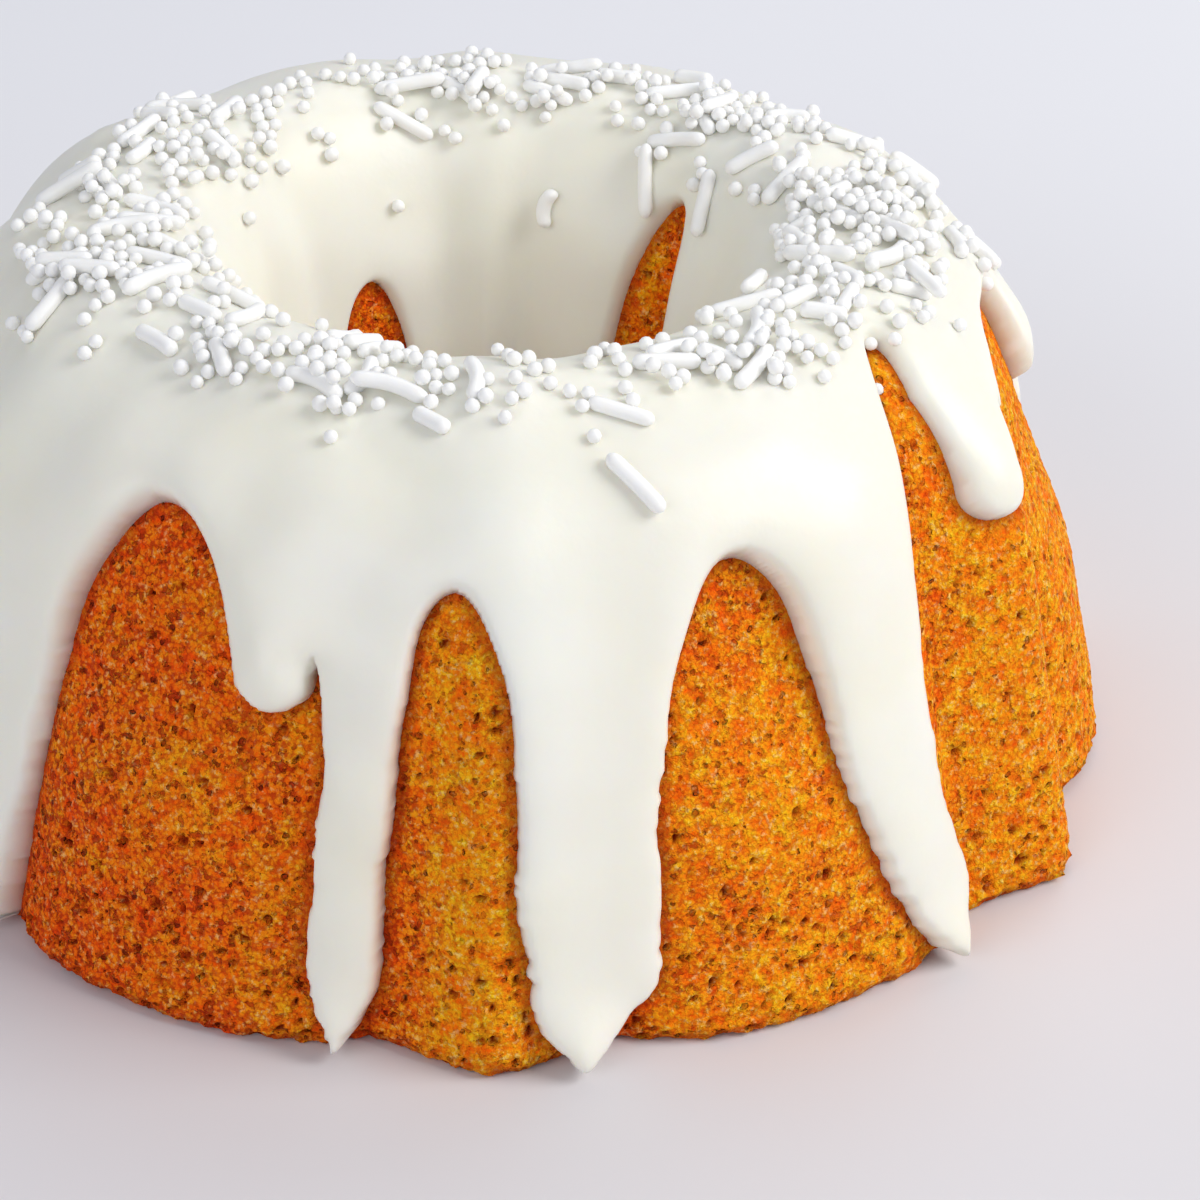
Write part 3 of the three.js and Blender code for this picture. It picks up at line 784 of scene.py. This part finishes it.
def ringBlank(name):
    depth = cornersIn(field).min(axis=0)
    hidden = np.where(depth > 1.5, 8, np.where(depth > 0.7, 2, 1))
    inHole = np.arange(rows - 1)[:, None] > section["top"] + (rows - section["top"]) * 0.3
    plain = np.where(section["z"][:-1, None] < 9, 4, 2)
    need = np.where(inHole, np.maximum(hidden, plain), hidden)
    faces, used = gridFaces(need, np.ones_like(need, bool))
    last = (rows - 1) * cols
    for at in range(0, cols, 8):  # the flat base between outer edge and hole
        out = [i % cols for i in range(at, at + 9) if used[0, i % cols]]
        back = [last + i % cols for i in range(at + 8, at - 1, -1) if used[-1, i % cols]]
        faces.append(back + out)
    blank, kept = makeMesh(name, plainRing.reshape(-1, 3), faces)
    j, i = kept // cols, kept % cols
    a, nr = np.radians(turns[i]), section["nr"][j]
    outward = np.c_[nr * np.sin(a), -nr * np.cos(a), section["nz"][j]]
    addAttribute(blank.data, "turn", "FLOAT", turns[i])
    addAttribute(blank.data, "share", "FLOAT", section["share"][j])
    addAttribute(blank.data, "keep", "FLOAT", section["keep"][j])
    addAttribute(blank.data, "bare", "FLOAT", -field.ravel()[kept])
    addAttribute(blank.data, "outward", "FLOAT_VECTOR", outward)
    return blank


flutes = {"Pairs": ring["pairs"], "Ridge Width": ring["ridgeWidth"], "Ridge Rounding": ring["ridgeRounding"],
          "Flute Depth": ring["fluteDepth"], "Lobe Rise": ring["lobeRise"]}
cakeRing = growPiece("cakeRing", ringBlank("ringBlank"), crumbTree(crumb, flutes), bakedCrust)
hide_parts("cake")
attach(cakeRing, "root")
print("cake ring:", triangleCount(cakeRing), "triangles")


# white sugar beads and strands, dropped one by one on the icing
sugar = {
    "seed": 7, "beads": 640, "strands": 84, "beadRadius": (0.72, 0.87), "strandRadius": (0.8, 0.92),
    "strandLength": (4.4, 8.4), "sunk": 0.22, "ceiling": 64.6, "pile": 1.9,
    "strays": 0.07, "strayReach": 2.1, "fullCrowd": 1.5, "bandSpread": 0.55, "bandEnd": 1.25,
    "patchiness": (-2.4, 1.6),
    # turn, crowding, reach into the hole and reach outward from the crest in mm
    "bands": [
        (0, 0.5, 1.0, 7.5), (35, 0.85, 2.5, 9), (60, 1.4, 5, 12), (90, 1.5, 6, 14),
        (120, 1.0, 6, 9), (150, 0.7, 7, 5), (180, 0.7, 8, 3), (215, 0.7, 7, 4),
        (245, 0.9, 6, 8), (285, 1.5, 5, 14), (320, 0.7, 3, 9),
    ],
}


class Heap:  # the grains laid so far, found by their place
    cell = 2.0

    def __init__(self):
        self.spots = {}

    def corner(self, p):
        return [int(math.floor(c / self.cell)) for c in p]

    def add(self, p, r):
        self.spots.setdefault(tuple(self.corner(p)), []).append((p.copy(), r))

    def deepest(self, p, r):  # how far a ball sinks into its worst neighbour
        i, j, k = self.corner(p)
        best = (0.0, None)
        for x in (-1, 0, 1):
            for y in (-1, 0, 1):
                for z in (-1, 0, 1):
                    for q, other in self.spots.get((i + x, j + y, k + z), ()):
                        deep = r + other - (p - q).length
                        if deep > best[0]:
                            best = (deep, q)
        return best


def dropSugar(s):
    rng = np.random.default_rng(s["seed"])
    coat = icingCoat.data
    corners = [v.co * 1000 for v in coat.vertices]
    skin = BVHTree.FromPolygons(corners, [tuple(p.vertices) for p in coat.polygons])
    bands = np.array(s["bands"], float)
    around = lambda column, turn: np.interp(turn, bands[:, 0], bands[:, column], period=360)
    heap = Heap()

    def surface(turn, out):  # out is in mm from the crest, outward
        row = np.array(section["top"] - out / ring["rowStep"])
        at = np.array(turn, float)
        base, above = Vector(ringPoints(at, row, 0.0)), Vector(ringPoints(at, row, 14.0))
        hit, normal, _, _ = skin.ray_cast(above, (base - above).normalized(), 40)
        return hit, normal

    def pickSpot():
        while True:
            turn = rng.uniform(0, 360)
            if rng.uniform(0, s["fullCrowd"]) < around(1, turn):
                aside = np.clip(rng.normal(0, s["bandSpread"]), -s["bandEnd"], s["bandEnd"])
                if rng.uniform() < s["strays"]:
                    aside *= s["strayReach"]
                inward, outward = around(2, turn), around(3, turn)
                out = (outward - inward) / 2 + aside * (outward + inward) / 2
                crowd = math.sin(turn * 0.21 + out * 0.5) + math.sin(turn * 0.47 - out * 0.8)
                crowd += math.sin(turn * 0.13 + 2)
                if rng.uniform(*s["patchiness"]) < crowd:
                    return turn, out

    def dropStrand(turn, out, yaw, length, radius):
        hit, normal = surface(turn, out)
        if hit is None:
            return None
        side = normal.orthogonal().normalized()
        side.rotate(Matrix.Rotation(yaw, 3, normal))
        half = length / 2 - radius
        ends = []
        for sign in (-1, 1):
            p = hit + side * half * sign
            foot, n, _, _ = skin.ray_cast(p + normal * 6, -normal, 14)
            if foot is None or n.dot(normal) < 0.5:
                return None
            ends.append(foot + normal * (radius - s["sunk"]))
        start = [e.copy() for e in ends]
        for _ in range(24):  # lifts the strand until it lies on all it touches
            moved = False
            for t in np.linspace(0, 1, max(4, int(length / 0.9))):
                p = ends[0].lerp(ends[1], t)
                close, n, _, _ = skin.find_nearest(p)
                deep = radius - s["sunk"] - (p - close).dot(n) if (p - close).length < 5 else 0
                push = max(deep, heap.deepest(p, radius)[0])
                if push > 0.04:
                    ends[0] += normal * push * (1 - t) * 1.3
                    ends[1] += normal * push * t * 1.3
                    moved = True
            if not moved:
                break
        lifted = max((e - b).length for e, b in zip(ends, start))
        if moved or lifted > s["pile"] or max(e.z for e in ends) > s["ceiling"] - radius:
            return None
        for t in np.linspace(0, 1, max(5, int(length / 0.6))):
            heap.add(ends[0].lerp(ends[1], t), radius)
        return ends, radius, normal

    def dropBead(turn, out, radius):
        hit, normal = surface(turn, out)
        if hit is None:
            return None
        p = hit + normal * (radius - s["sunk"])
        for _ in range(16):
            deep, other = heap.deepest(p, radius)
            if other is None or deep < 0.03:
                break
            away = (p - other).normalized() + normal * 0.6
            p += away.normalized() * deep * 1.05
        deep, _ = heap.deepest(p, radius)
        close, n, _, _ = skin.find_nearest(p)
        gap = (p - close).dot(n)
        lies = radius - s["sunk"] * 2 <= gap <= radius + s["pile"]
        if deep > 0.06 or not lies or p.z + radius > s["ceiling"]:
            return None
        heap.add(p, radius)
        return p, radius

    strands, beads = [], []
    while len(strands) < s["strands"]:
        turn, out = pickSpot()
        yaw = rng.uniform(0, math.pi)
        made = dropStrand(turn, out, yaw, rng.uniform(*s["strandLength"]), rng.uniform(*s["strandRadius"]))
        if made:
            strands.append(made)
    while len(beads) < s["beads"]:
        turn, out = pickSpot()
        made = dropBead(turn, out, rng.uniform(*s["beadRadius"]))
        if made:
            beads.append(made)
    return strands, beads


def pointCloud(name, places, attributes):
    mesh = bpy.data.meshes.new(name)
    mesh.from_pydata([tuple(p * mm) for p in places], [], [])
    for label, (kind, values) in attributes.items():
        addAttribute(mesh, label, kind, values)
    piece = bpy.data.objects.new(name, mesh)
    scene.collection.objects.link(piece)
    return piece


def beadTree():
    net, give, take = formTree("scatterBeads", {"Unevenness": 0.07}, [("Seed", "NodeSocketInt", 3)])
    ball = net.node("GeometryNodeMeshIcoSphere", {"Radius": mm, "Subdivisions": 2})
    squash = net.random(give["Seed"], net.minus(1.0, give["Unevenness"]), (1.03, 1.03, 1.03))
    placed = net.node("GeometryNodeInstanceOnPoints", {
        "Points": give["Geometry"], "Instance": ball.outputs["Mesh"],
        "Rotation": net.random(give["Seed"], (0, 0, 0), (6.28, 6.28, 6.28)),
        "Scale": net.scaled(squash, net.named("size"))})
    net.end(placed.outputs[0], give["Material"], take["Geometry"])
    return net.tree


plainStrand = {"Length": 6.4, "Radius": 0.88, "Bend": 0.9}


def strandForm(net, give, bendShare, steps=15, bodyShare=0.55):
    line = net.node("GeometryNodeCurvePrimitiveLine").outputs[0]
    fineLine = net.node("GeometryNodeResampleCurve", {"Curve": line, "Count": steps})
    w = net.timesPlus(net.node("GeometryNodeInputIndex").outputs[0], 2.0 / (steps - 1), -1.0)
    away = net.calc("ABSOLUTE", w)
    angle = net.remap(away, bodyShare, 1.0, 0.0, 1.42)  # the round ends
    half = net.times(give["Length"], 0.5)
    body = net.times(net.minus(half, give["Radius"]), net.remap(away, 0.0, bodyShare))
    reach = net.plus(body, net.times(give["Radius"], net.calc("SINE", angle)))
    bow = net.minus(1.0, net.calc("POWER", net.over(reach, half), 2.0))
    aside = net.times(net.times(give["Bend"], bendShare), bow)
    spot = net.node("ShaderNodeCombineXYZ", {0: aside, 2: net.times(reach, net.calc("SIGN", w))})
    bent = {"Geometry": fineLine.outputs[0], "Position": spot.outputs[0]}
    spine = net.node("GeometryNodeSetPosition", bent)
    circle = net.node("GeometryNodeCurvePrimitiveCircle", {"Resolution": 9, "Radius": give["Radius"]})
    sweep = net.node("GeometryNodeCurveToMesh", {
        "Curve": spine.outputs[0], "Profile Curve": circle.outputs[0],
        "Scale": net.calc("COSINE", angle), "Fill Caps": True})
    return net.node("GeometryNodeGeometryToInstance", {0: sweep.outputs[0]}).outputs[0]


def strandTree():
    net, give, take = formTree("scatterStrands", plainStrand)
    forms = net.node("GeometryNodeJoinGeometry")
    for bendShare in (0.0, 0.12, 0.3, 1.0):
        net.wire(strandForm(net, give, bendShare), forms.inputs[0])
    axes = {0: net.named("aim", "FLOAT_VECTOR"), 1: net.named("side", "FLOAT_VECTOR")}
    lie = net.node("FunctionNodeAxesToRotation", axes, primary_axis="Z", secondary_axis="X")
    placed = net.node("GeometryNodeInstanceOnPoints", {
        "Points": give["Geometry"], "Instance": forms.outputs[0], "Pick Instance": True,
        "Instance Index": net.named("form"), "Rotation": lie.outputs[0],
        "Scale": net.named("size", "FLOAT_VECTOR")})
    net.end(placed.outputs[0], give["Material"], take["Geometry"])
    return net.tree


def strandCloud(strands):
    forms = np.random.default_rng(21).integers(0, 4, len(strands))
    forms[0] = 0
    middles, aims, sides, sizes = [], [], [], []
    for (a, b), r, normal in strands:
        aim = (b - a).normalized()
        wide = r / plainStrand["Radius"] * mm
        middles.append((a + b) / 2)
        aims.append(aim)
        sides.append(aim.cross(normal))
        sizes.append((wide, wide, ((b - a).length + 2 * r) / plainStrand["Length"] * mm))
    return pointCloud("strandPoints", middles, {
        "aim": ("FLOAT_VECTOR", aims), "side": ("FLOAT_VECTOR", sides),
        "size": ("FLOAT_VECTOR", sizes), "form": ("FLOAT", forms)})


def growSugar(name, points, tree, material):
    piece = growPiece(name, points, tree, material)
    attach(piece, "root")
    print(name + ":", triangleCount(piece), "triangles")


strands, beads = dropSugar(sugar)
print("sugar dropped:", len(strands), "strands and", len(beads), "beads")
growSugar("sugarStrands", strandCloud(strands), strandTree(), sugarMaterial("strandSugar", sugarLook, 1.6))
beadPoints = pointCloud("beadPoints", [p for p, _ in beads], {"size": ("FLOAT", [r for _, r in beads])})
growSugar("sugarBeads", beadPoints, beadTree(), sugarMaterial("beadSugar", sugarLook, 1.1))


# floor, light and camera
stageLook = {
    "floor": (0.73, 0.72, 0.745, 1), "farFloorLight": (0.86, 0.865, 0.90, 1), "mottle": (0.985, 0.985, 0.985, 1),
    "fadeFrom": -0.08, "fadeTo": 0.22, "reach": 3.0, "world": (0.80, 0.82, 0.90, 1), "worldStrength": 0.42,
}


def makeFloor(s):
    mesh = bpy.data.meshes.new("paleFloor")
    r = s["reach"]
    mesh.from_pydata([(-r, -r, 0), (r, -r, 0), (r, r, 0), (-r, r, 0)], [], [(0, 1, 2, 3)])
    floor = bpy.data.objects.new("paleFloor", mesh)
    scene.collection.objects.link(floor)
    material, net, sockets = startMaterial("palePaper", s["floor"], Roughness=0.55, Specular_IOR_Level=0.3)
    away = net.parts(net.node("ShaderNodeTexCoord").outputs["Object"])[1]
    fade = net.remap(away, s["fadeFrom"], s["fadeTo"], smooth=True)  # paler towards the back: painted light on the far floor
    paperWithFarLight = net.blend(fade, s["floor"], s["farFloorLight"])
    patch = net.group(mottle, Size_mm=60.0, Contrast=0.6)["Mask"]
    net.wire(net.blend(patch, paperWithFarLight, s["mottle"], "MULTIPLY"), sockets["Base Color"])
    mesh.materials.append(material)


def areaLight(name, turn, height, distance, size, power, colour, aim=(0, 0, 0.03)):
    data = bpy.data.lights.new(name, "AREA")
    data.shape, data.size, data.energy, data.color = "DISK", size, power, colour
    lamp = bpy.data.objects.new(name, data)
    scene.collection.objects.link(lamp)
    t, h = math.radians(turn), math.radians(height)
    flat = distance * math.cos(h)
    lamp.location = (flat * math.sin(t), -flat * math.cos(t), distance * math.sin(h))
    lamp.rotation_euler = (Vector(aim) - lamp.location).to_track_quat("-Z", "Y").to_euler()


lamps = [
    # name, turn from the front, height, distance, size, power, colour
    ("windowLight", 76, 40, 1.1, 0.7, 8.2, (1.0, 0.985, 0.96)),
    ("backFill", 160, 50, 1.2, 0.8, 2.5, (0.95, 0.97, 1.0)),
    ("frontFill", -38, 27, 1.3, 1.0, 4.8, (0.97, 0.98, 1.0)),
]


def makeWorld(s):
    world = bpy.data.worlds.new("softRoom")
    world.use_nodes = True
    back = world.node_tree.nodes["Background"].inputs
    back["Color"].default_value, back["Strength"].default_value = s["world"], s["worldStrength"]
    scene.world = world


# metres, degrees, and the lens in mm
eye = {
    "distance": 0.4785, "height": 32.03, "turn": -1.22,
    "pitch": 30.6, "yaw": 3.04, "roll": 1.54, "lens": 124.7,
}


def makeCamera(s):
    height, turn, pitch, yaw, roll = (math.radians(s[k]) for k in ("height", "turn", "pitch", "yaw", "roll"))
    data = bpy.data.cameras.new("eye")
    data.lens, data.sensor_width, data.clip_start = s["lens"], 36, 0.01
    camera = bpy.data.objects.new("eye", data)
    scene.collection.objects.link(camera)
    flat = math.cos(height)
    place = Vector((flat * math.sin(turn), -flat * math.cos(turn), math.sin(height))) * s["distance"]
    forward = Vector((math.sin(yaw) * math.cos(pitch), math.cos(yaw) * math.cos(pitch), -math.sin(pitch)))
    right = forward.cross(Vector((0, 0, 1))).normalized()
    up = right.cross(forward)
    across = math.cos(roll) * right + math.sin(roll) * up
    above = math.cos(roll) * up - math.sin(roll) * right
    aim = Matrix((across, above, -forward)).transposed().to_4x4()
    camera.matrix_world = Matrix.Translation(place) @ aim
    scene.camera = camera


makeFloor(stageLook)
makeWorld(stageLook)
for lamp in lamps:
    areaLight(*lamp)
makeCamera(eye)
scene.view_settings.view_transform = "Standard"
print("stage, light and camera set")
